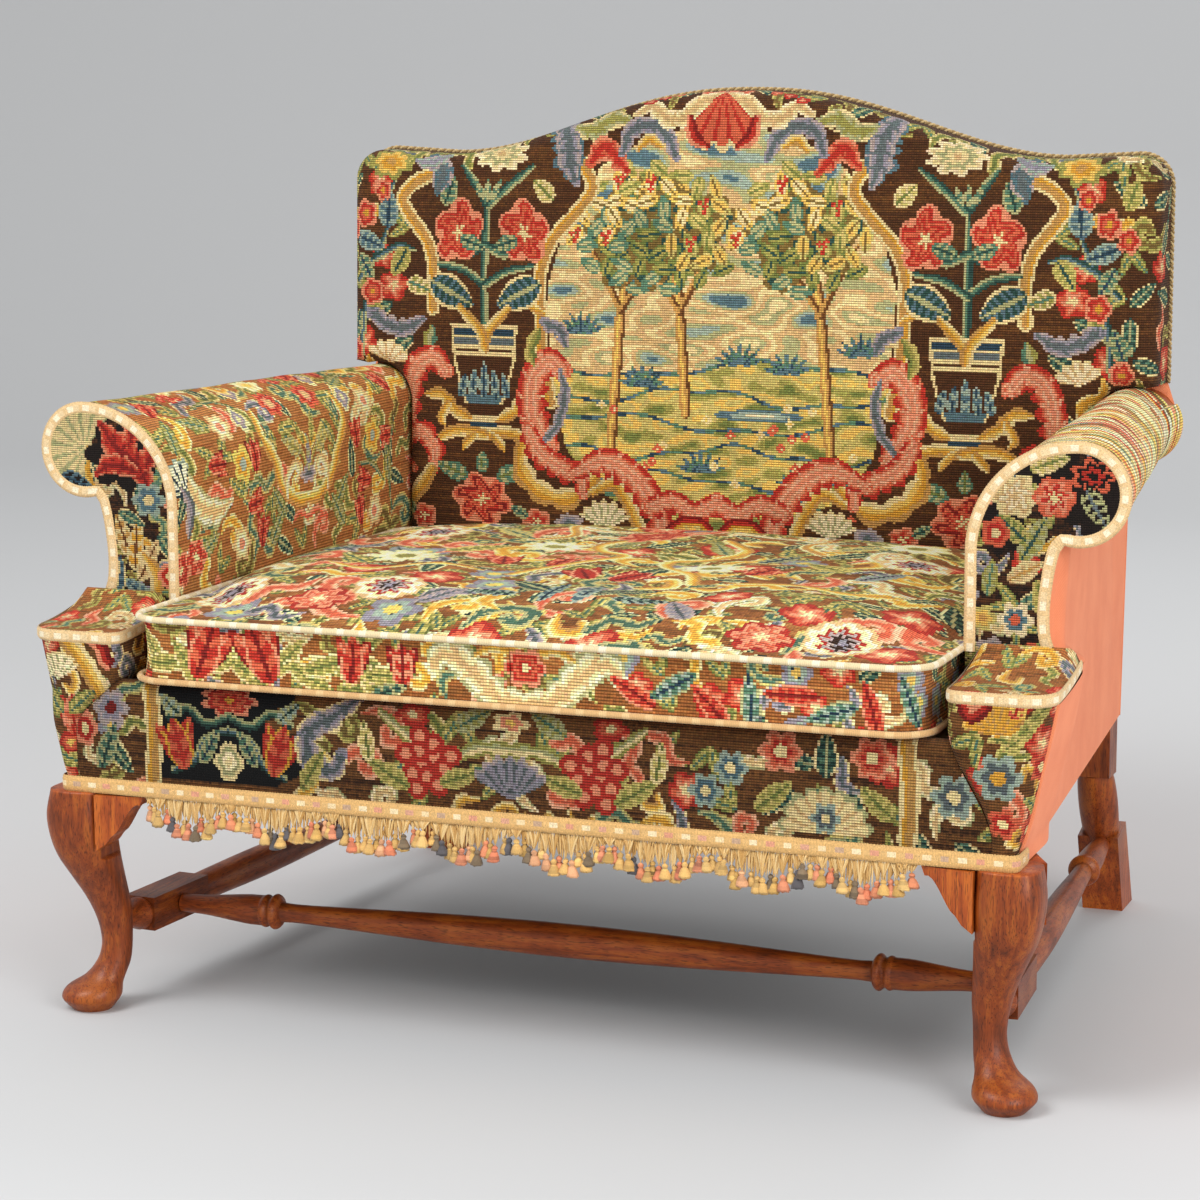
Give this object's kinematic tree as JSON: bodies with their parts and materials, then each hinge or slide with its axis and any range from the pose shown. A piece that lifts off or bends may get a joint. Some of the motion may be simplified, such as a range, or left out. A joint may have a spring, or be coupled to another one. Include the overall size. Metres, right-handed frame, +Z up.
{
  "type": "settee",
  "caption": "Small camel-back settee with scrolled arms, a loose seat cushion, cabriole front legs, raked back legs and turned stretchers, upholstered in floral needlework.",
  "frame": {"origin": "on the floor, under the middle of the settee's bounding box", "axes": "+X along the seat to its right end as seen from the back, which is the right end for a viewer in front of it, +Y from the front to the back, +Z up"},
  "size_m": [1.2932, 0.942, 1.05],
  "materials": {
    "walnut": "satin, dark reddish brown, worn",
    "frame_wood": "planed, unfinished",
    "linen": "plain woven jute and linen",
    "stuffing": "curled hair under wadding",
    "arm_needlework": "wool needlework on canvas, gros point",
    "block_needlework": "wool needlework on canvas, gros point",
    "back_needlework": "wool needlework on canvas, gros and petit point",
    "rail_needlework": "wool needlework on canvas, gros point",
    "seat_needlework": "wool needlework on canvas, gros point",
    "coral_cloth": "plain woven, matt",
    "block_woven_braid": "narrow woven braid with blocks",
    "twisted_cord": "two-colour twisted cord",
    "gold_gimp": "scalloped gimp braid",
    "tassel_fringe": "twisted cords with small tassels",
    "black_lining": "thin plain woven",
    "steel_tacks": "blued steel tacks"
  },
  "bodies": {
    "frame": {"front_leg_left": "walnut", "front_leg_right": "walnut", "knee_bracket_front_left": "walnut", "knee_bracket_front_right": "walnut", "knee_bracket_side_left": "walnut", "knee_bracket_side_right": "walnut", "back_post_left": "walnut", "back_post_right": "walnut", "side_stretcher_left": "walnut", "side_stretcher_right": "walnut", "cross_stretcher": "walnut", "front_seat_rail": "frame_wood", "back_seat_rail": "frame_wood", "side_seat_rail_left": "frame_wood", "side_seat_rail_right": "frame_wood", "corner_blocks": "frame_wood", "seat_brace": "frame_wood", "seat_webbing": "linen", "seat_hessian": "linen", "seat_platform": "linen", "arm_scroll_board_left": "frame_wood", "arm_scroll_board_right": "frame_wood", "arm_roll_rail_left": "frame_wood", "arm_roll_rail_right": "frame_wood", "arm_stay_rail_left": "frame_wood", "arm_stay_rail_right": "frame_wood", "arm_stuffing_left": "stuffing", "arm_stuffing_right": "stuffing", "arm_cover_left": "arm_needlework", "arm_cover_right": "arm_needlework", "arm_facing_left": "arm_needlework", "arm_facing_right": "arm_needlework", "arm_braid_left": "block_woven_braid", "arm_braid_right": "block_woven_braid", "front_block_left": "frame_wood", "front_block_right": "frame_wood", "block_cover_left": "block_needlework", "block_cover_right": "block_needlework", "block_braid_left": "block_woven_braid", "block_braid_right": "block_woven_braid", "outside_arm_cover_left": "coral_cloth", "outside_arm_cover_right": "coral_cloth", "crest_rail": "frame_wood", "back_stay_rail": "frame_wood", "back_webbing": "linen", "back_stuffing": "stuffing", "back_cover": "back_needlework", "back_cord": "twisted_cord", "outside_back_cover": "coral_cloth", "front_rail_cover": "rail_needlework", "bottom_gimp": "gold_gimp", "fringe": "tassel_fringe", "bottom_lining": "black_lining", "lining_tacks": "steel_tacks"},
    "cushion": {"seat_cushion": "seat_needlework", "cushion_cords": "twisted_cord"}
  },
  "joints": [
    {"name": "cushion_lift", "type": "slide", "parent": "frame", "child": "cushion", "axis": [0, 0, 1], "range_m": [0, 0.35]}
  ]
}
